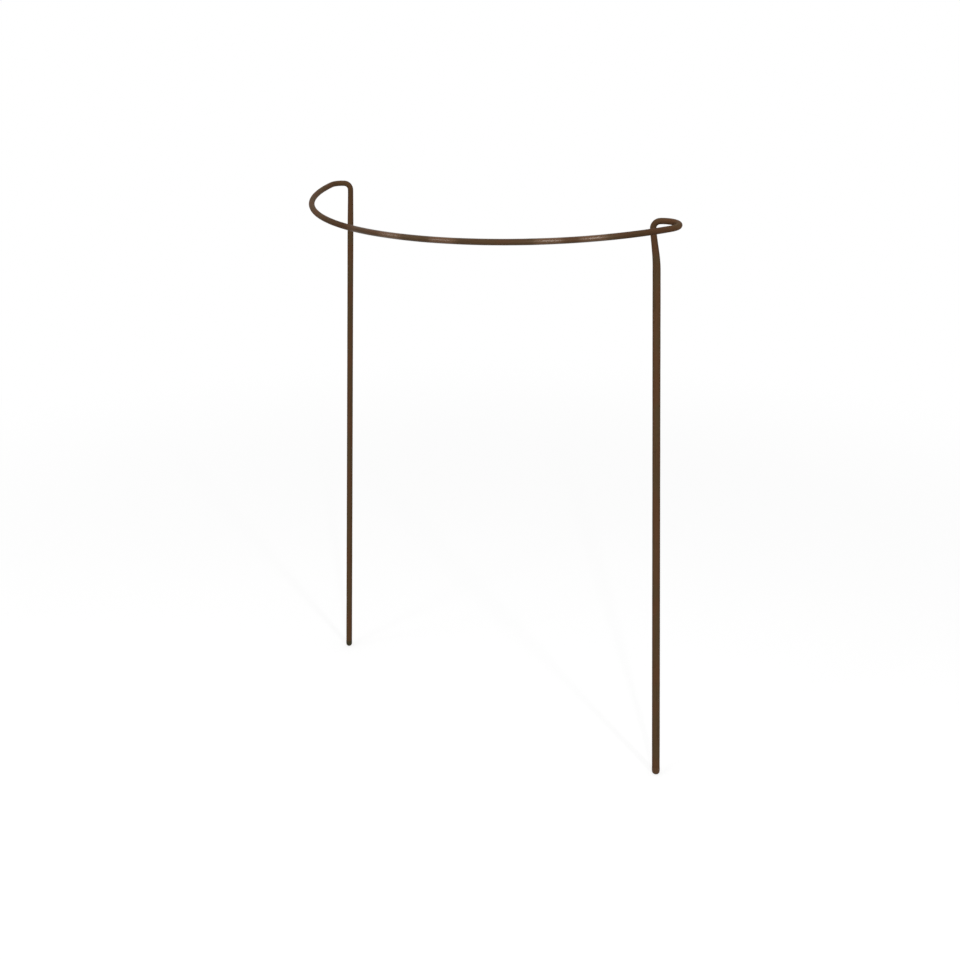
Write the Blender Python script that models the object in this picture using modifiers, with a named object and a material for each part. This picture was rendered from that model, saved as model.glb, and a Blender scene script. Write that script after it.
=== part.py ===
"""Arched plant support: a bent steel rod in a brown plastic coat, with a rounded cap on each foot.

Units are metres. +Z is up, X runs from the left leg to the right one, and the bow stands out towards -Y.
The origin lies midway between the two feet, at the height of their tips.
"""

import math

import bmesh
import bpy
from mathutils import Vector

# Driving dimensions of the bent rod, along its axis
corner_height = 0.5967  # of the corners above the tips of the feet; the coated bow above them reaches 0.600
leg_spacing = 0.395  # between the lines of the two legs, at the height of the corners
leg_splay = math.radians(2.7)  # how far each leg leans outwards on its way down
bow_depth = 0.1663  # how far the bow stands out in front of the legs
bow_droop = math.radians(3.5)  # slope of the whole bow, down towards its front
corner_radius = 0.0070  # of the bend that turns the rod down into a leg
shoulder_lead = 0.002  # straight rod between a corner's bend and its shoulder

# The two shoulders, which lead the rod round from the corners into the bow's long arc
left_toe_back = math.radians(-28)  # from straight outwards to the rod's heading where it leaves the corner
left_shoulder_radius = 0.0095
right_toe_back = math.radians(24)  # this corner sends the rod out and back, so it hooks round more widely
right_shoulder_radius = 0.0170

# The soft set in the right leg, left by the bending of its corner
set_offset = 0.0050  # how far the corner stands inside the line of the leg
set_length = 0.038  # how far under the corner the leg is back on its line
set_radius = 0.120  # of the bend there

# Diameters
core_diameter = 0.0044
core_clearance = 0.0003  # all round the rod and under its ends
bow_coat_diameter = 0.0060
leg_coat_diameter = 0.0072  # wet plastic runs down the legs, so the coat sets thicker there
coat_build_up = 0.045  # the length under each corner over which it thickens

# Where the coat is parted, and the caps on the feet
parting_margin = 0.010  # straight rod between the last change of shape and the parting
joint_gap = 0.0003  # between pieces that meet end to end
cap_length = 0.009
cap_floor = 0.0042  # solid plastic under the rod's end
cap_flat_diameter = 0.0030  # of the flat at the very tip

# Fineness
coat_facets = 16
bore_facets = 12
cap_facets = 24
bow_steps = 44
shoulder_steps = 16
corner_steps = 7
set_steps = 5
cap_dome_steps = 6
crease_angle = math.radians(50)

# Colours as linear values
coat_brown = (0.078, 0.040, 0.022)
cap_brown = (0.052, 0.036, 0.020)
steel_grey = (0.42, 0.42, 0.43)

# Sizes that follow from the others
bore_diameter = core_diameter + 2 * core_clearance
parting_depth = max(set_length, corner_radius + coat_build_up) + parting_margin
bow_middle = -set_offset / 2  # the bow stands out furthest midway between its corners
half_span = (leg_spacing - set_offset) / 2


def clear_scene():
    for item in list(bpy.data.objects):
        bpy.data.objects.remove(item, do_unlink=True)


def collection_named(name):
    made = bpy.data.collections.new(name)
    bpy.context.scene.collection.children.link(made)
    return made


def material(name, colour, roughness, metallic=0.0):
    made = bpy.data.materials.new(name)
    made.use_nodes = True
    shader = made.node_tree.nodes["Principled BSDF"]
    shader.inputs["Base Color"].default_value = (*colour, 1.0)
    shader.inputs["Roughness"].default_value = roughness
    shader.inputs["Metallic"].default_value = metallic
    made.diffuse_color = (*colour, 1.0)
    return made


# The rod's axis: each side is worked out as a right-hand one, with x measured from the bow's middle


def rounded_corner(before, corner, after, radius, steps):
    """Points of the bend that rounds off one corner of a path, or the corner itself where it is straight."""
    incoming = (corner - before).normalized()
    outgoing = (after - corner).normalized()
    turn = incoming.angle(outgoing)
    if turn < 1e-4:
        return [corner]
    start = corner - incoming * radius * math.tan(turn / 2)
    inward = (outgoing - incoming * outgoing.dot(incoming)).normalized()
    centre = start + inward * radius
    angles = [turn * i / steps for i in range(steps + 1)]
    return [centre - inward * radius * math.cos(a) + incoming * radius * math.sin(a) for a in angles]


def on_slope(across, along):
    """The point of the bow's sloping plane above or below one place in the plan."""
    return Vector((across, along, corner_height + along * math.tan(bow_droop)))


def sloping_arc(across, along, radius, start, end, steps):
    """Points of an arc of the bow, round a centre in the plan."""
    angles = [start + (end - start) * i / steps for i in range(steps + 1)]
    return [on_slope(across + radius * math.cos(a), along + radius * math.sin(a)) for a in angles]


def upper_leg(corner, heading, offset):
    """The rod from the parting up to the end of the corner's bend, where it runs along the heading."""
    lean = math.tan(leg_splay)
    line_top = corner + Vector((offset, 0.0, 0.0))
    back_in_line = line_top + Vector((set_length * lean, 0.0, -set_length))
    parting = line_top + Vector((parting_depth * lean, 0.0, -parting_depth))
    soft_bend = rounded_corner(parting, back_in_line, corner, set_radius, set_steps)
    tight_bend = rounded_corner(back_in_line, corner, corner + heading, corner_radius, corner_steps)
    return [parting] + soft_bend + tight_bend


def shoulder_and_half_bow(start, toe_back, shoulder_radius):
    """The rod from the start of a shoulder, round it and along the long arc to the bow's middle.

    The long arc passes through the bow's foremost point and carries straight on from the shoulder, so the
    distance between the two centres is the difference of the two radii. That gives its centre and radius.
    """
    across = start.x + shoulder_radius * math.sin(toe_back)
    along = start.y - shoulder_radius * math.cos(toe_back)
    reach = bow_depth - shoulder_radius
    centre_along = (across**2 + along**2 - reach**2) / (2 * (reach + along))
    bow_radius = centre_along + bow_depth
    leaving = toe_back + math.pi / 2
    joining = math.atan2(along - centre_along, across)
    shoulder = sloping_arc(across, along, shoulder_radius, leaving, joining, shoulder_steps)
    half_bow = sloping_arc(0.0, centre_along, bow_radius, joining, -math.pi / 2, bow_steps // 2)
    return shoulder + half_bow[1:]


def corner_lead(heading):
    """The length that the sharper of the two corner bends takes up along the heading."""
    rising = Vector((-math.tan(leg_splay) - set_offset / set_length, 0.0, 1.0))
    return corner_radius * math.tan(rising.angle(heading) / 2)


def side(offset, toe_back, shoulder_radius):
    """One side's rod, from the parting to the bow's middle."""
    corner = on_slope(half_span, 0.0)
    further = on_slope(half_span + math.cos(toe_back), math.sin(toe_back))
    heading = (further - corner).normalized()
    start = corner + heading * (corner_lead(heading) + shoulder_lead)
    return upper_leg(corner, heading, offset) + shoulder_and_half_bow(start, toe_back, shoulder_radius)


def bow_path():
    """The rod's axis from the left parting over the bow to the right parting."""
    left_side = side(0.0, left_toe_back, left_shoulder_radius)
    right_side = side(set_offset, right_toe_back, right_shoulder_radius)
    left = [Vector((bow_middle - p.x, p.y, p.z)) for p in left_side]
    right = [Vector((bow_middle + p.x, p.y, p.z)) for p in right_side]
    return left + right[-2::-1]


def leg_point(mirror, up_the_leg):
    """The point on a leg's axis this far up from the tip of its foot; mirror is 1 right and -1 left."""
    foot = Vector((leg_spacing / 2 + corner_height * math.tan(leg_splay), 0.0, 0.0))
    point = foot + Vector((-math.sin(leg_splay), 0.0, math.cos(leg_splay))) * up_the_leg
    return Vector((mirror * point.x, 0.0, point.z))


# Solids round that axis


def coat_radius(point):
    """The coat's outer radius at a point of the axis: even on the bow, and growing down the legs."""
    below_the_corner = corner_height - corner_radius - point.z - abs(point.y)
    share = min(max(below_the_corner / coat_build_up, 0.0), 1.0)
    eased = share * share * (3 - 2 * share)
    return (bow_coat_diameter + (leg_coat_diameter - bow_coat_diameter) * eased) / 2


def tube(name, points, radii, facets, owner):
    """A curve with filled caps along the points, as thick at each as its radius says."""
    data = bpy.data.curves.new(name, "CURVE")
    data.dimensions = "3D"
    data.bevel_depth = max(radii)
    data.bevel_resolution = (facets - 4) // 2
    data.use_fill_caps = True
    spline = data.splines.new("POLY")
    spline.points.add(len(points) - 1)
    for knot, point, radius in zip(spline.points, points, radii):
        knot.co = (*point, 1.0)
        knot.radius = radius / data.bevel_depth
    spline.use_smooth = True
    made = bpy.data.objects.new(name, data)
    owner.objects.link(made)
    return made


def as_mesh(source, owner):
    """The object as its modifiers and bevel leave it, with its seams and caps welded."""
    bpy.context.view_layer.update()
    graph = bpy.context.evaluated_depsgraph_get()
    data = bpy.data.meshes.new_from_object(source.evaluated_get(graph))
    cage = bmesh.new()
    cage.from_mesh(data)
    bmesh.ops.remove_doubles(cage, verts=cage.verts, dist=1e-6)
    bmesh.ops.recalc_face_normals(cage, faces=cage.faces)
    cage.to_mesh(data)
    cage.free()
    name = source.name
    matrix = source.matrix_world.copy()
    bpy.data.objects.remove(source, do_unlink=True)
    made = bpy.data.objects.new(name, data)
    made.matrix_world = matrix
    owner.objects.link(made)
    return made


def finish_surface(made, finish):
    made.data.shade_smooth()
    made.data.set_sharp_from_angle(angle=crease_angle)
    made.data.materials.append(finish)


def longer(points, extra):
    """The same path with both of its ends run straight on."""
    first = points[0] + (points[0] - points[1]).normalized() * extra
    last = points[-1] + (points[-1] - points[-2]).normalized() * extra
    return [first] + points + [last]


def coat(name, points, parts, cutters, finish):
    """A length of the plastic coat: a rod of its outer size, bored through for the steel."""
    made = as_mesh(tube(name, points, [coat_radius(p) for p in points], coat_facets, parts), parts)
    bored = longer(points, leg_coat_diameter)
    radii = [bore_diameter / 2] * len(bored)
    bore = as_mesh(tube(name + "_bore", bored, radii, bore_facets, cutters), cutters)
    bore.hide_render = True
    bore.display_type = "WIRE"
    cut = made.modifiers.new("bore", "BOOLEAN")
    cut.operation = "DIFFERENCE"
    cut.solver = "EXACT"
    cut.object = bore
    finish_surface(made, finish)


def foot_cap(name, mirror, parts, finish):
    """A turned cup that closes the coat: a seat for the rod's end, a straight skirt and a domed tip."""
    outer = leg_coat_diameter / 2
    bore = bore_diameter / 2
    dome_turn = math.acos(cap_flat_diameter / leg_coat_diameter)
    dome_height = outer * math.sin(dome_turn)
    angles = [dome_turn * i / cap_dome_steps for i in range(cap_dome_steps + 1)]
    outline = [(0.0, cap_floor), (bore, cap_floor), (bore, cap_length), (outer, cap_length)]
    outline += [(outer * math.cos(a), dome_height - outer * math.sin(a)) for a in angles]
    outline.append((0.0, 0.0))
    data = bpy.data.meshes.new(name)
    edges = [(i, i + 1) for i in range(len(outline) - 1)]
    data.from_pydata([(radius, 0.0, height) for radius, height in outline], edges, [])
    made = bpy.data.objects.new(name, data)
    parts.objects.link(made)
    turn = made.modifiers.new("turn", "SCREW")
    turn.steps = cap_facets
    turn.render_steps = cap_facets
    turn.use_merge_vertices = True
    turn.merge_threshold = 1e-5
    made.location = leg_point(mirror, 0.0)
    made.rotation_euler = (0.0, -mirror * leg_splay, 0.0)
    finish_surface(as_mesh(made, parts), finish)


def steel_core(over_the_bow, parts, finish):
    """The steel rod, from its cut end in one foot cap to the other."""
    seat = cap_floor + core_clearance
    points = [leg_point(-1, seat)] + over_the_bow + [leg_point(1, seat)]
    core = tube("steel_core", points, [core_diameter / 2] * len(points), bore_facets, parts)
    core.data.materials.append(finish)


def build():
    clear_scene()
    parts = collection_named("arched_plant_support")
    cutters = collection_named("cutters")
    coat_finish = material("brown_coating", coat_brown, 0.42)
    cap_finish = material("foot_cap_plastic", cap_brown, 0.5)
    steel_finish = material("drawn_steel", steel_grey, 0.38, metallic=1.0)

    over_the_bow = bow_path()
    steel_core(over_the_bow, parts, steel_finish)
    coat("bow_coating", over_the_bow, parts, cutters, coat_finish)

    leg_length = corner_height / math.cos(leg_splay)
    lower = cap_length + joint_gap
    upper = leg_length - parting_depth / math.cos(leg_splay) - joint_gap
    for hand, mirror in (("left", -1), ("right", 1)):
        leg = [leg_point(mirror, lower), leg_point(mirror, upper)]
        coat(hand + "_leg_coating", leg, parts, cutters, coat_finish)
        foot_cap(hand + "_foot_cap", mirror, parts, cap_finish)


build()
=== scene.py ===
"""Arched plant support in the studio: its coat and foot caps, the floor, the lamps and the camera."""

import math
import bpy
from mathutils import Matrix, Vector, noise


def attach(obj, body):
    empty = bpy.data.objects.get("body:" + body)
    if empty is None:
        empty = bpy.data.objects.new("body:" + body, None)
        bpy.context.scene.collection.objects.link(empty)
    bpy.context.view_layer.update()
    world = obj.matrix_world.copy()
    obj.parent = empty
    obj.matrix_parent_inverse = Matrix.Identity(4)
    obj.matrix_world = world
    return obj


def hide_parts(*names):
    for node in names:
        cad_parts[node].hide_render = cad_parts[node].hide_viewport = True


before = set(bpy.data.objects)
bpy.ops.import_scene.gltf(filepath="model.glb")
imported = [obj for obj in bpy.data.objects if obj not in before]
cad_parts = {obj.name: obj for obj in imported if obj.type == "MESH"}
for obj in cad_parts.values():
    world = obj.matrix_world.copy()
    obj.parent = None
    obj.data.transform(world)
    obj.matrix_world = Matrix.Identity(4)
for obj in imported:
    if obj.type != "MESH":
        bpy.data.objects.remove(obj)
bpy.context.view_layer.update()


# The steel rod
# One length of drawn mild steel, cut and bent cold from foot to foot. The coat hides all of it, so the
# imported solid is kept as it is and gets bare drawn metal: bright, with fine lines and a trace of oil.

steel_grey = (0.40, 0.40, 0.41)
oiled_grey = (0.22, 0.20, 0.18)
steel_roughness = 0.30
oil_roughness = 0.22
oil_patch_size = 0.020
oil_patch_edge = (0.45, 0.62)
draw_line_size = 0.0004
draw_line_depth = 0.00001


class Value:
    """A socket of a material that can stand in Python sums; each sum adds its Math node."""

    def __init__(self, tree, socket=None):
        self.tree = tree
        self.socket = socket

    def node(self, kind, settings, inputs, output=0):
        """A new node: its settings are made first, then its sockets get their values or links."""
        made = self.tree.nodes.new(kind)
        for name, setting in settings.items():
            setattr(made, name, setting)
        for name, given in inputs.items():
            if isinstance(given, Value):
                self.tree.links.new(given.socket, made.inputs[name])
            else:
                made.inputs[name].default_value = given
        return Value(self.tree, made.outputs[output])

    def sum(self, operation, first, second):
        return self.node("ShaderNodeMath", {"operation": operation}, {0: first, 1: second})

    def __add__(self, other):
        return self.sum("ADD", self, other)

    def __sub__(self, other):
        return self.sum("SUBTRACT", self, other)

    def __rsub__(self, other):
        return self.sum("SUBTRACT", other, self)

    def __mul__(self, other):
        return self.sum("MULTIPLY", self, other)

    __radd__ = __add__
    __rmul__ = __mul__

    def between(self, low, high):
        """0 up to low, 1 from high on, and a soft rise between them; low may be the larger one."""
        settings = {"interpolation_type": "SMOOTHSTEP"}
        inputs = {"Value": self, "From Min": low, "From Max": high}
        return self.node("ShaderNodeMapRange", settings, inputs)

    def colours(self, at_none, at_full):
        """The colour between two others that this value picks."""
        inputs = {0: self, 6: at_none, 7: at_full}
        return self.node("ShaderNodeMix", {"data_type": "RGBA"}, inputs, 2)

    def stretched(self, along, across):
        """These coordinates, scaled so that plain noise has this size along the rod and across it."""
        scale = (1 / along, 1 / across, 1 / across)
        return self.node("ShaderNodeVectorMath", {"operation": "MULTIPLY"}, {0: self, 1: scale})

    def noise(self, detail=2.0):
        """Cloudy noise over these coordinates, from 0 to 1."""
        return self.node("ShaderNodeTexNoise", {}, {"Vector": self, "Scale": 1.0, "Detail": detail})

    def bumped(self, depth):
        """The normal of a surface that this value raises by up to depth metres."""
        return self.node("ShaderNodeBump", {}, {"Height": self, "Distance": depth})

    def feed(self, shader, socket):
        """Links this value to one socket of a shader."""
        self.tree.links.new(self.socket, shader.inputs[socket])


def opaque(colour):
    """A colour as a socket takes it, with its alpha."""
    return (*colour, 1.0)


def new_material(name):
    """A material, its shader, and a bare Value from which its other nodes grow."""
    made = bpy.data.materials.new(name)
    made.use_nodes = True
    return made, made.node_tree.nodes["Principled BSDF"], Value(made.node_tree)


def drawn_steel():
    """Bright bare metal with fine lines and thin patches of drawing oil, which are darker and smoother."""
    material, shader, nodes = new_material("drawn_steel")
    place = nodes.node("ShaderNodeTexCoord", {}, {}, "Object")
    patches = place.stretched(oil_patch_size, oil_patch_size).noise(detail=3.0)
    oil = patches.between(*oil_patch_edge)
    lines = place.stretched(oil_patch_size, draw_line_size).noise()
    oil.colours(opaque(steel_grey), opaque(oiled_grey)).feed(shader, "Base Color")
    (steel_roughness + (oil_roughness - steel_roughness) * oil).feed(shader, "Roughness")
    lines.bumped(draw_line_depth).feed(shader, "Normal")
    shader.inputs["Metallic"].default_value = 1.0
    return material


steel_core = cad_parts["steel_core"]
steel_core.data.materials.clear()
steel_core.data.materials.append(drawn_steel())


# The brown coat
# Polyethylene, put on hot over the bent rod: one skin from foot to foot, thin on the bow, thicker on the
# legs and most of all on the right one. The tight bends draw such a skin thin outside and fold it inside.
# That the bow's front is smoother, with four polished places, is only a guess from its highlights.
# The front and two stretches at the bow's sides are also painted darker as shade, and the four places paler
# as highlights.

# The rod's bends and the coat's thickness, as in the imported solids.
corner_height = 0.5967
leg_spacing = 0.395
leg_splay = math.radians(2.7)
bow_depth = 0.1663
bow_droop = math.radians(3.5)
corner_radius = 0.0070
shoulder_lead = 0.002
left_toe_back = math.radians(-28)
left_shoulder_radius = 0.0095
right_toe_back = math.radians(24)
right_shoulder_radius = 0.0170
set_offset = 0.0050
set_length = 0.038
set_radius = 0.120
bow_coat_radius = 0.0030
leg_coat_radius = 0.0036
coat_build_up = 0.045
coat_bore_radius = 0.0025
cap_length = 0.009
bow_middle = -set_offset / 2
half_span = (leg_spacing - set_offset) / 2

# How close the mesh's rings lie in the bends and elsewhere, and how many sides they have.
tight_step = 0.0004
easy_step = 0.003
fewest_bend_steps = 4
straight_enough = 1e-4
coat_sides = 32
bore_sides = 16
rings_per_bore_ring = 4

# What makes the skin more than a plain tube: runs, waves, ripples, thinned and folded bends, rounded ends.
right_leg_extra = 0.00032
left_leg_extra = -0.00022
run_thickening = 0.00024
run_length = 0.500
wave_height = 0.00005
wave_length = 0.035
ripple_height = 0.00002
ripple_length = 0.008
bend_thinning = 0.00028
bend_easing = 0.003
fold_height = 0.00006
fold_length = 0.0017
fold_onset = 3
full_fold_bend = 0.4
end_rounding = 0.0003
end_ring_shares = (0.1, 0.35, 0.65, 1.0)


def rounded_corner(before, corner, after, radius, step):
    """The bend that rounds off one corner of a path, or the corner itself where the path is straight."""
    incoming = (corner - before).normalized()
    outgoing = (after - corner).normalized()
    turn = incoming.angle(outgoing)
    if turn < straight_enough:
        return [corner]
    start = corner - incoming * radius * math.tan(turn / 2)
    inward = (outgoing - incoming * outgoing.dot(incoming)).normalized()
    centre = start + inward * radius
    steps = max(fewest_bend_steps, round(radius * turn / step))
    angles = [turn * i / steps for i in range(steps + 1)]
    rise = incoming * radius
    inset = inward * radius
    return [centre - inset * math.cos(a) + rise * math.sin(a) for a in angles]


def on_slope(across, along):
    """The point of the bow's sloping plane above or below one place in the plan."""
    return Vector((across, along, corner_height + along * math.tan(bow_droop)))


def sloping_arc(across, along, radius, start, end, step):
    """An arc of the bow, round a centre in the plan, without its first point."""
    steps = round(radius * abs(end - start) / step)
    angles = [start + (end - start) * (i + 1) / steps for i in range(steps)]
    return [on_slope(across + radius * math.cos(a), along + radius * math.sin(a)) for a in angles]


def one_side(offset, toe_back, shoulder_radius):
    """The rod's axis from a foot cap to the bow's middle, as on the right, and x from the bow's middle."""
    lean = math.tan(leg_splay)
    corner = on_slope(half_span, 0.0)
    further = on_slope(half_span + math.cos(toe_back), math.sin(toe_back))
    heading = (further - corner).normalized()
    line_top = corner + Vector((offset, 0.0, 0.0))
    up_the_leg = Vector((-math.sin(leg_splay), 0.0, math.cos(leg_splay)))
    foot = line_top + Vector((corner_height * lean, 0.0, -corner_height))
    back_in_line = line_top + Vector((set_length * lean, 0.0, -set_length))
    cap_seam = foot + up_the_leg * cap_length
    leg = rounded_corner(cap_seam, back_in_line, corner, set_radius, tight_step)
    leg += rounded_corner(back_in_line, corner, corner + heading, corner_radius, tight_step)

    rising = Vector((-lean - set_offset / set_length, 0.0, 1.0))
    corner_lead = corner_radius * math.tan(rising.angle(heading) / 2)
    shoulder_start = corner + heading * (corner_lead + shoulder_lead)
    across = shoulder_start.x + shoulder_radius * math.sin(toe_back)
    along = shoulder_start.y - shoulder_radius * math.cos(toe_back)
    reach = bow_depth - shoulder_radius
    centre_along = (across**2 + along**2 - reach**2) / (2 * (reach + along))
    leaving = toe_back + math.pi / 2
    joining = math.atan2(along - centre_along, across)
    shoulder = sloping_arc(across, along, shoulder_radius, leaving, joining, tight_step)
    half_bow = sloping_arc(0.0, centre_along, centre_along + bow_depth, joining, -math.pi / 2, easy_step)
    return [cap_seam] + leg + [shoulder_start] + shoulder + half_bow


def filled(points, step):
    """The same path, with more points wherever two of them lie more than a step apart."""
    full = [points[0]]
    for point in points[1:]:
        last = full[-1]
        pieces = math.ceil((point - last).length / step)
        full += [last.lerp(point, (i + 1) / pieces) for i in range(pieces)]
    return full


def with_fine_ends(points):
    """The same path, with close points at both ends for the coat's rounded edges."""
    near = [end_rounding * share for share in end_ring_shares]
    first = (points[1] - points[0]).normalized()
    last = (points[-2] - points[-1]).normalized()
    start = [points[0] + first * d for d in near]
    end = [points[-1] + last * d for d in reversed(near)]
    return [points[0]] + start + points[1:-1] + end + [points[-1]]


def rod_axis():
    """The whole rod's axis, from the left foot cap to the right one."""
    left_side = one_side(0.0, left_toe_back, left_shoulder_radius)
    right_side = one_side(set_offset, right_toe_back, right_shoulder_radius)
    left = [Vector((bow_middle - p.x, p.y, p.z)) for p in left_side]
    right = [Vector((bow_middle + p.x, p.y, p.z)) for p in right_side]
    return with_fine_ends(filled(left + right[-2::-1], easy_step))


def lengths_along(points):
    """How far along the rod each point is."""
    total = [0.0]
    for last, point in zip(points, points[1:]):
        total.append(total[-1] + (point - last).length)
    return total


def headings(points):
    """The rod's direction at each point."""
    middle = [(after - before).normalized() for before, after in zip(points, points[2:])]
    return [(points[1] - points[0]).normalized()] + middle + [(points[-1] - points[-2]).normalized()]


def bends(directions, lengths):
    """At each point, towards the inside of the bend there, as long as the bend is tight (1 / radius)."""
    found = [Vector((0.0, 0.0, 0.0))]
    for i in range(1, len(directions) - 1):
        turned = directions[i + 1] - directions[i - 1]
        found.append(turned / (lengths[i + 1] - lengths[i - 1]))
    return found + [found[0]]


def softened(vectors, lengths, reach):
    """The vectors, each averaged with those within reach of it along the rod."""
    soft = []
    for i, here in enumerate(lengths):
        total = Vector((0.0, 0.0, 0.0))
        weight = 0.0
        for step in (-1, 1):
            j = i
            while 0 <= j < len(lengths) and abs(lengths[j] - here) < reach:
                share = (reach - abs(lengths[j] - here)) / reach
                total += vectors[j] * share
                weight += share
                j += step
        soft.append(total / weight)
    return soft


def eased(share):
    """A share that stays between 0 and 1 and leaves both of them softly."""
    share = min(max(share, 0.0), 1.0)
    return share * share * (3 - 2 * share)


def coat_radius(point, run, to_end, outward, bend):
    """How far the coat's surface lies from the rod's axis in one direction, at one place along it."""
    below = (corner_height - corner_radius - point.z - abs(point.y)) / coat_build_up
    on_the_leg = leg_coat_radius + (right_leg_extra if point.x > 0 else left_leg_extra)
    radius = bow_coat_radius + (on_the_leg - bow_coat_radius) * eased(below)
    radius += run_thickening * eased(1 - point.z / run_length)
    spot = outward * leg_coat_radius
    radius += wave_height * noise.noise((Vector((run, 0.0, 0.0)) + spot) / wave_length)
    radius += ripple_height * noise.noise((Vector((0.0, run, 0.0)) + spot) / ripple_length)
    inside = bend.dot(outward) * bow_coat_radius
    radius += bend_thinning * inside
    fold = math.sin(2 * math.pi * run / fold_length)
    radius += fold_height * fold * eased(inside * fold_onset) * max(inside, 0.0) / full_fold_bend
    edge = min(to_end / end_rounding, 1.0)
    return radius - end_rounding * (1 - math.sqrt(1 - (1 - edge) ** 2))


def ring_of(heading, side, sides):
    """Unit directions square to the rod, all round it, from the given side on."""
    up = heading.cross(side)
    angles = [2 * math.pi * i / sides for i in range(sides)]
    return [side * math.cos(a) + up * math.sin(a) for a in angles]


# The flat sheet for baking: its rows, its margins, and where the two ends lie on the last row.
outside_rows = 9
bore_row = 9
ends_row = 10
sheet_rows = 11
sheet_left = 0.01
sheet_width = 0.96
row_foot = 0.04
row_height = 0.92
row_slack = 1.0001
end_scale_along = 9
end_scale_up = 107
end_middles = (0.05, 0.15)
end_height = 0.5
coat_crease = math.radians(50)


def coat_mesh():
    """The coat as one closed body of outside, ends and bore.

    "unbent" is each point's place on the straight rod, from its middle, where the plastic's patterns are
    drawn. The flat sheet for baking holds the outside cut into nine lengths, one above the other, then the
    bore, then the two ends.
    """
    points = rod_axis()
    lengths = lengths_along(points)
    directions = headings(points)
    tightness = softened(bends(directions, lengths), lengths, bend_easing)
    whole = lengths[-1]

    side = Vector((0.0, 1.0, 0.0))
    vertices, unbent, bore_rings = [], [], []

    def vertex(point, outward, radius, run, turn):
        vertices.append(point + outward * radius)
        unbent.append((run - whole / 2, radius * math.cos(turn), radius * math.sin(turn)))

    for i, (point, heading, run, bend) in enumerate(zip(points, directions, lengths, tightness)):
        side = (side - heading * side.dot(heading)).normalized()
        for k, outward in enumerate(ring_of(heading, side, coat_sides)):
            radius = coat_radius(point, run, min(run, whole - run), outward, bend)
            vertex(point, outward, radius, run, 2 * math.pi * k / coat_sides)
        if i % rings_per_bore_ring == 0 or i == len(points) - 1:
            bore_rings.append((point, heading, side.copy(), run))
    bore_start = len(vertices)
    for point, heading, side, run in bore_rings:
        for k, outward in enumerate(ring_of(heading, side, bore_sides)):
            vertex(point, outward, coat_bore_radius, run, 2 * math.pi * k / bore_sides)

    faces, sheet = [], []

    def face(corners, row, spots, turned):
        """One face and its place on the flat sheet; a turned one looks to the other side."""
        flat = [
            (sheet_left + sheet_width * along, (row + row_foot + row_height * up) / sheet_rows)
            for along, up in spots
        ]
        faces.append(corners[::-1] if turned else corners)
        sheet.extend(flat[::-1] if turned else flat)

    def tube(start, runs, sides, row_length, first_row, turned):
        """The faces between all rings of one tube, cut into rows of one length on the flat sheet."""
        for i in range(len(runs) - 1):
            row = int(runs[i] / row_length)
            low, high = runs[i] / row_length - row, runs[i + 1] / row_length - row
            here = start + i * sides
            after = here + sides
            for k in range(sides):
                corners = [here + k, here + (k + 1) % sides, after + (k + 1) % sides, after + k]
                left, right = k / sides, (k + 1) / sides
                spots = [(low, left), (low, right), (high, right), (high, left)]
                face(corners, first_row + row, spots, turned)

    def end_ring(outer, inner, middle, turned):
        """The flat ring between outside and bore; a bore face has two of the outside's beside it."""
        for k in range(bore_sides):
            wide = [outer + 2 * k, outer + 2 * k + 1, outer + (2 * k + 2) % coat_sides]
            corners = wide + [inner + (k + 1) % bore_sides, inner + k]
            places = [unbent[corner] for corner in corners]
            spots = [(middle + end_scale_along * y, end_height + end_scale_up * z) for _, y, z in places]
            face(corners, ends_row, spots, turned)

    bore_runs = [run for _, _, _, run in bore_rings]
    tube(0, lengths, coat_sides, whole * row_slack / outside_rows, 0, False)
    tube(bore_start, bore_runs, bore_sides, whole * row_slack, bore_row, True)
    end_ring(0, bore_start, end_middles[0], True)
    end_ring((len(points) - 1) * coat_sides, len(vertices) - bore_sides, end_middles[1], False)

    mesh = bpy.data.meshes.new("brown_coat")
    mesh.from_pydata(vertices, [], faces)
    unbent_places = mesh.attributes.new("unbent", "FLOAT_VECTOR", "POINT")
    unbent_places.data.foreach_set("vector", [number for spot in unbent for number in spot])
    baking_sheet = mesh.uv_layers.new(name="OFBake")
    baking_sheet.data.foreach_set("uv", [number for spot in sheet for number in spot])
    mesh.shade_smooth()
    mesh.set_sharp_from_angle(angle=coat_crease)
    return mesh


# The plastic's own colours, and the size and share of each pattern in them, along and across the rod.
coat_gloss = 0.20
coat_gloss_tint = (1.0, 0.82, 0.66)
coat_dull_roughness = 0.80
coat_glossy_roughness = 0.17
coat_olive_brown = (0.078, 0.046, 0.020)
coat_red_brown = (0.093, 0.042, 0.018)
drift_size = (0.030, 0.012)
drift_edge = (0.35, 0.65)
coat_dark_brown = (0.036, 0.017, 0.007)
streak_size = (0.060, 0.0012)
streak_edge = (0.52, 0.75)
streak_darkness = 0.55
cloud_size = (0.010, 0.004)
cloud_edge = (0.55, 0.8)
cloud_darkness = 0.3
cloud_dulling = 0.04

# Smoother places, painted shade and painted highlights, set by the lights and darks that the bow shows from
# the camera. Each is given by its distance from the rod's middle, towards the right leg.
rubbed_middle = 0.075
rubbed_reach = 0.115
rubbed_fade = 0.035
# Painted shade: the bow's smoother front is also darkened by this share.
front_painted_shade = 0.22
rubbed_least = 0.80
rubbed_patch_size = (0.020, 0.009)
rubbed_patch_edge = (0.40, 0.58)
# Painted shade: two stretches at the bow's sides are darkened.
painted_shade_spots = (-0.090, 0.237)
painted_shade_reach = 0.014
painted_shade_fade = 0.022
painted_shade_darkness = 0.4
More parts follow.
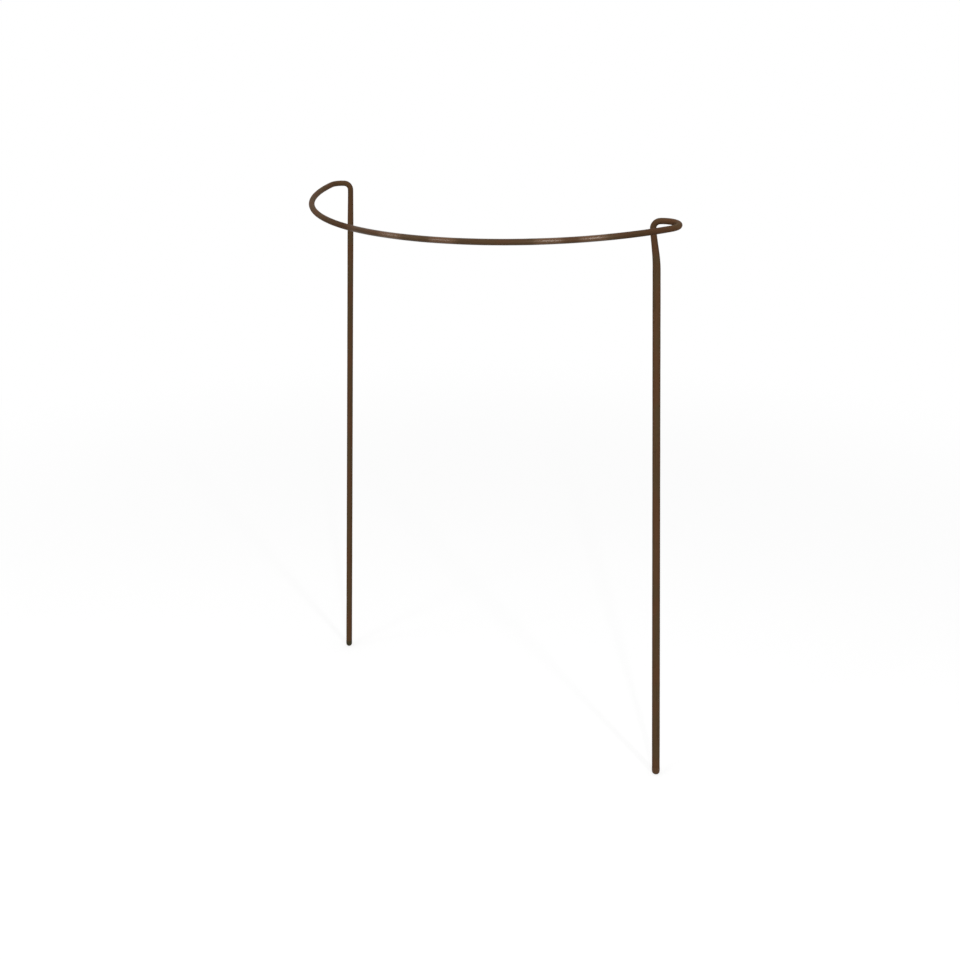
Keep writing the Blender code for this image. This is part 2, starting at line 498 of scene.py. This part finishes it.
# Painted highlights: at these four places the coat is painted paler brown as well as given more gloss.
highlight_spots = (-0.008, 0.048, 0.146, 0.187)
highlight_spot_reach = 0.006
highlight_spot_fade = 0.010
painted_highlight_brown = (0.135, 0.060, 0.020)
painted_highlight_share = 0.5
polished_coat = 0.38
polished_roughness = 0.23

# The fine grain: a trace of orange peel over lines drawn out along the rod.
peel_size = (0.0022, 0.0016)
peel_share = 0.15
flow_line_size = (0.045, 0.0005)
grain_depth = 0.000008


def coat_finish(name):
    """Brown polyethylene: two browns that drift into each other, dark streaks, clouds and smooth places,
    with painted shade on the bow's front and at two stretches, and painted highlights at four places.
    """
    material, shader, nodes = new_material(name)
    place = nodes.node("ShaderNodeAttribute", {"attribute_name": "unbent"}, {}, "Vector")
    drift = place.stretched(*drift_size).noise(detail=3.0).between(*drift_edge)
    streaks = place.stretched(*streak_size).noise(detail=4.0).between(*streak_edge)
    cloud = place.stretched(*cloud_size).noise(detail=5.0)
    along = place.node("ShaderNodeSeparateXYZ", {}, {"Vector": place}, "X")

    def stretch(middle, reach, fade):
        """1 on one stretch of the rod, as far as its reach on both sides of its middle, then fading."""
        away = along - middle
        return (away * away).between((reach + fade) ** 2, reach**2)

    def all_of(spots, reach, fade):
        return sum(stretch(spot, reach, fade) for spot in spots)

    rubbed = stretch(rubbed_middle, rubbed_reach, rubbed_fade)
    painted_shade = all_of(painted_shade_spots, painted_shade_reach, painted_shade_fade)
    gloss_and_painted_highlight = all_of(highlight_spots, highlight_spot_reach, highlight_spot_fade)

    dark = streaks * streak_darkness + cloud.between(*cloud_edge) * cloud_darkness
    # Painted shade on the bow's front and at two stretches at its sides.
    dark = dark + rubbed * front_painted_shade + painted_shade * painted_shade_darkness
    base = drift.colours(opaque(coat_olive_brown), opaque(coat_red_brown))
    darkened = dark.colours(base, opaque(coat_dark_brown))
    # Painted highlight: the four places are painted paler brown.
    with_painted_light = (gloss_and_painted_highlight * painted_highlight_share).colours(darkened, opaque(painted_highlight_brown))
    with_painted_light.feed(shader, "Base Color")

    patches = place.stretched(*rubbed_patch_size).noise().between(*rubbed_patch_edge)
    smooth = rubbed * (rubbed_least + (1 - rubbed_least) * patches)
    dulling = (coat_dull_roughness - coat_glossy_roughness) * (1 - smooth)
    (coat_glossy_roughness + dulling + cloud_dulling * cloud).feed(shader, "Roughness")
    (gloss_and_painted_highlight * polished_coat).feed(shader, "Coat Weight")

    peel = place.stretched(*peel_size).noise()
    flow_lines = place.stretched(*flow_line_size).noise()
    grain = peel * peel_share + flow_lines * (1 - peel_share)
    grain.bumped(grain_depth).feed(shader, "Normal")
    shader.inputs["Coat Roughness"].default_value = polished_roughness
    shader.inputs["Specular IOR Level"].default_value = coat_gloss
    shader.inputs["Specular Tint"].default_value = opaque(coat_gloss_tint)
    return material


coat = bpy.data.objects.new("brown_coat", coat_mesh())
bpy.context.scene.collection.objects.link(coat)
coat.data.materials.append(coat_finish("brown_coat"))
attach(coat, "root")
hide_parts("bow_coating", "left_leg_coating", "right_leg_coating")


# The foot caps
# Each leg ends in a moulded cap of the same plastic, pushed over the cut rod against the end of the coat.
# Its domed tip goes into the soil first. Both caps turn dark green-brown from below: the left one nearly
# all over, the right one only round its tip, where the darkness is painted shade.

cap_floor = 0.0042
seat_ring_share = 0.6
cap_bulge = 0.00008
tip_height = 0.0035
dome_bluntness = 0.9
cap_sides = 48
edge_steps = 4
skirt_steps = 6
dome_steps = 14
cap_crease = math.radians(60)

cap_brown = (0.086, 0.042, 0.018)
dark_tip_green = (0.042, 0.034, 0.015)
# How high the dark green-brown reaches from the tip; on the right cap this is painted shade round the tip.
left_dark_tip_height = 0.0085
right_painted_shade_height = 0.0015
dark_tip_raggedness = 0.002
dark_tip_fade = 0.0025
dark_tip_dulling = 0.25
cap_roughness = 0.60
blotch_size = (0.004, 0.003)
scuff_size = (0.0012, 0.0009)
scuff_share = 0.7
scuff_depth = 0.00004


def cap_profile(outer):
    """Half the cap's section, from the middle of the rod's seat out over the rim and down to the tip."""
    seat = (0.0, coat_bore_radius * seat_ring_share, coat_bore_radius)
    profile = [(radius, cap_floor) for radius in seat]
    profile.append((coat_bore_radius, cap_length))
    for i in range(edge_steps + 1):
        turn = math.pi / 2 * i / edge_steps
        inset = end_rounding * (1 - math.sin(turn))
        drop = end_rounding * (1 - math.cos(turn))
        profile.append((outer - inset, cap_length - drop))
    skirt = cap_length - end_rounding - tip_height
    for i in range(1, skirt_steps + 1):
        share = i / skirt_steps
        bulge = cap_bulge * math.sin(math.pi * share)
        profile.append((outer + bulge, cap_length - end_rounding - skirt * share))
    for i in range(1, dome_steps):
        turn = math.pi / 2 * i / dome_steps
        radius = outer * math.cos(turn) ** dome_bluntness
        profile.append((radius, tip_height * (1 - math.sin(turn))))
    profile.append((0.0, 0.0))
    return profile


def cap_finish(name, dark_tip_height):
    """Moulded plastic, scuffed on the dome and dark green-brown from below up to a given height, which on
    the right cap is painted shade round the tip.
    """
    material, shader, nodes = new_material(name)
    place = nodes.node("ShaderNodeTexCoord", {}, {}, "Object")
    height = place.node("ShaderNodeSeparateXYZ", {}, {"Vector": place}, "Z")
    blotch = place.stretched(*blotch_size).noise(detail=5.0)
    scuff = place.stretched(*scuff_size).noise(detail=4.0)
    # Darker green-brown below the given height: painted shade on the right cap.
    below_the_edge = dark_tip_height + dark_tip_raggedness * blotch - height
    darkened_tip = below_the_edge.between(0.0, dark_tip_fade)
    darkened_tip.colours(opaque(cap_brown), opaque(dark_tip_green)).feed(shader, "Base Color")
    (cap_roughness + dark_tip_dulling * darkened_tip * blotch).feed(shader, "Roughness")
    wear = scuff * scuff_share + blotch * (1 - scuff_share)
    wear.bumped(scuff_depth).feed(shader, "Normal")
    shader.inputs["Specular IOR Level"].default_value = coat_gloss
    shader.inputs["Specular Tint"].default_value = opaque(coat_gloss_tint)
    return material


def foot_cap(name, mirror, outer, finish):
    """The cap's half section, turned round its axis and stood in line with its leg."""
    profile = cap_profile(outer)
    turns = [2 * math.pi * k / cap_sides for k in range(cap_sides)]
    vertices = []
    for radius, height in profile[1:-1]:
        vertices += [(radius * math.cos(a), radius * math.sin(a), height) for a in turns]
    last_ring = len(vertices) - cap_sides
    seat_middle = len(vertices)
    tip = seat_middle + 1
    vertices += [(0.0, 0.0, profile[0][1]), (0.0, 0.0, profile[-1][1])]

    faces = []
    for k in range(cap_sides):
        after = (k + 1) % cap_sides
        faces.append((seat_middle, k, after))
        for ring in range(0, last_ring, cap_sides):
            next_ring = ring + cap_sides
            faces.append((ring + k, next_ring + k, next_ring + after, ring + after))
        faces.append((last_ring + k, tip, last_ring + after))

    mesh = bpy.data.meshes.new(name)
    mesh.from_pydata(vertices, [], faces)
    mesh.shade_smooth()
    mesh.set_sharp_from_angle(angle=cap_crease)
    mesh.materials.append(finish)
    made = bpy.data.objects.new(name, mesh)
    bpy.context.scene.collection.objects.link(made)
    foot_reach = leg_spacing / 2 + corner_height * math.tan(leg_splay)
    made.location = (mirror * foot_reach, 0.0, 0.0)
    made.rotation_euler = (0.0, -mirror * leg_splay, 0.0)
    return made


feet = (
    ("left", -1, left_leg_extra, left_dark_tip_height),
    ("right", 1, right_leg_extra, right_painted_shade_height),
)
for hand, mirror, extra, dark_tip_height in feet:
    outer = leg_coat_radius + extra + run_thickening
    finish = cap_finish(hand + "_cap_plastic", dark_tip_height)
    cap = foot_cap(hand + "_cap", mirror, outer, finish)
    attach(cap, "root")
    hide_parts(hand + "_foot_cap")


# The studio
# A wide pale floor, plain white to the eye, fades into a white surround, which gives much of the light.
# Four tall strip lamps in front leave the short highlights along the bow, and two weak soft lamps, behind
# the camera and overhead, even the light out.

floor_radius = 6.0
floor_sides = 96
floor_fade = (0.5, 1.5)
floor_pale = 0.35
floor_roughness = 0.9
light_on_the_floor = 0.82
surround_light = 0.52
white = opaque((1.0, 1.0, 1.0))
black = opaque((0.0, 0.0, 0.0))


def seen_straight_on(nodes):
    """1 for what the camera sees, also in gloss or through glass, and 0 for light that falls on things."""
    kinds = ("Is Camera Ray", "Is Glossy Ray", "Is Transmission Ray")
    rays = [nodes.node("ShaderNodeLightPath", {}, {}, kind) for kind in kinds]
    return rays[0] + rays[1] + rays[2]


def white_floor():
    """A round floor that shows white, less the shadows that the lamps leave on its pale paint."""
    bpy.ops.mesh.primitive_circle_add(vertices=floor_sides, radius=floor_radius, fill_type="NGON")
    floor = bpy.context.object
    floor.name = "floor"
    material, shader, nodes = new_material("white_floor")
    shader.inputs["Roughness"].default_value = floor_roughness
    shader.inputs["Specular IOR Level"].default_value = 0.0
    shader.inputs["Emission Strength"].default_value = 1.0
    place = nodes.node("ShaderNodeTexCoord", {}, {}, "Object")
    distance = nodes.node("ShaderNodeVectorMath", {"operation": "LENGTH"}, {0: place}, "Value")
    fade = distance.between(*floor_fade)
    fade.colours(opaque((floor_pale,) * 3), black).feed(shader, "Base Color")
    glow = seen_straight_on(nodes) * (1 - floor_pale * light_on_the_floor * (1 - fade))
    glow.colours(black, white).feed(shader, "Emission Color")
    floor.data.materials.append(material)


def white_surround():
    """White to the eye, and a weaker even light on what stands in it."""
    world = bpy.data.worlds.new("surround")
    world.use_nodes = True
    bpy.context.scene.world = world
    seen = seen_straight_on(Value(world.node_tree))
    background = world.node_tree.nodes["Background"]
    background.inputs["Color"].default_value = white
    (surround_light + (1 - surround_light) * seen).feed(background, "Strength")


def lamp(name, place, aim, long_side, length, width, power):
    """A soft rectangular lamp that faces its aim, its long side as near as may be along one direction."""
    data = bpy.data.lights.new(name, "AREA")
    data.shape = "RECTANGLE"
    data.size = width
    data.size_y = length
    data.energy = power
    back = (Vector(place) - Vector(aim)).normalized()
    up = Vector(long_side)
    up = (up - back * up.dot(back)).normalized()
    made = bpy.data.objects.new(name, data)
    made.matrix_world = Matrix((up.cross(back), up, back)).transposed().to_4x4()
    made.location = place
    bpy.context.scene.collection.objects.link(made)


white_floor()
white_surround()

# Each softbox has its place, the direction of one side, its size and its power.
support_middle = (0.0, -0.05, 0.35)
softboxes = (
    ("softbox_behind_the_camera", (1.48, -1.98, 1.15), (0.0, 0.0, 1.0), 1.3, 4.0),
    ("softbox_overhead", (0.0, -0.1, 2.7), (0.0, 1.0, 0.0), 1.5, 3.0),
)
for name, place, long_side, size, power in softboxes:
    lamp(name, place, support_middle, long_side, size, size, power)

# Each strip has its place, the direction of its long side and its power.
strip_length = 1.8
strip_width = 0.08
bow_front = (0.10, -0.14, 0.59)
strips = (
    ("strip_left", (-1.03, -1.51, 1.19), (-0.03, 0.43, 0.90), 4.2),
    ("strip_left_of_middle", (-0.26, -1.81, 1.22), (-0.12, 0.38, 0.92), 6.5),
    ("strip_right_of_middle", (1.27, -1.34, 1.29), (-0.28, 0.28, 0.92), 8.0),
    ("strip_right", (1.66, -0.82, 1.31), (-0.33, 0.24, 0.91), 11.0),
)
for name, place, long_side, power in strips:
    lamp(name, place, bow_front, long_side, strip_length, strip_width, power)


# The camera
# It stands in front and to the right, a little over the bow, and looks down at the middle of the support.
# The picture is moved by a tenth of its height, so that the legs stay as upright as they can.

camera_bearing = 0.6547
camera_rise = 0.3084
camera_distance = 1.3693
camera_aim = Vector((-0.0149, 0.0021, 0.3935))
sensor_width = 36.0
picture_side = 960
focal_pixels = 1250
shift_pixels = 96

level = math.cos(camera_rise)
rightwards = math.sin(camera_bearing) * level
forwards = math.cos(camera_bearing) * level
towards_camera = Vector((rightwards, -forwards, math.sin(camera_rise)))
camera_data = bpy.data.cameras.new("camera")
camera_data.sensor_width = sensor_width
camera_data.lens = camera_data.sensor_width * focal_pixels / picture_side
camera_data.shift_y = -shift_pixels / picture_side
camera = bpy.data.objects.new("camera", camera_data)
camera.location = camera_aim + towards_camera * camera_distance
camera.rotation_euler = (-towards_camera).to_track_quat("-Z", "Y").to_euler()
bpy.context.scene.collection.objects.link(camera)
bpy.context.scene.camera = camera
bpy.context.scene.view_settings.view_transform = "Standard"
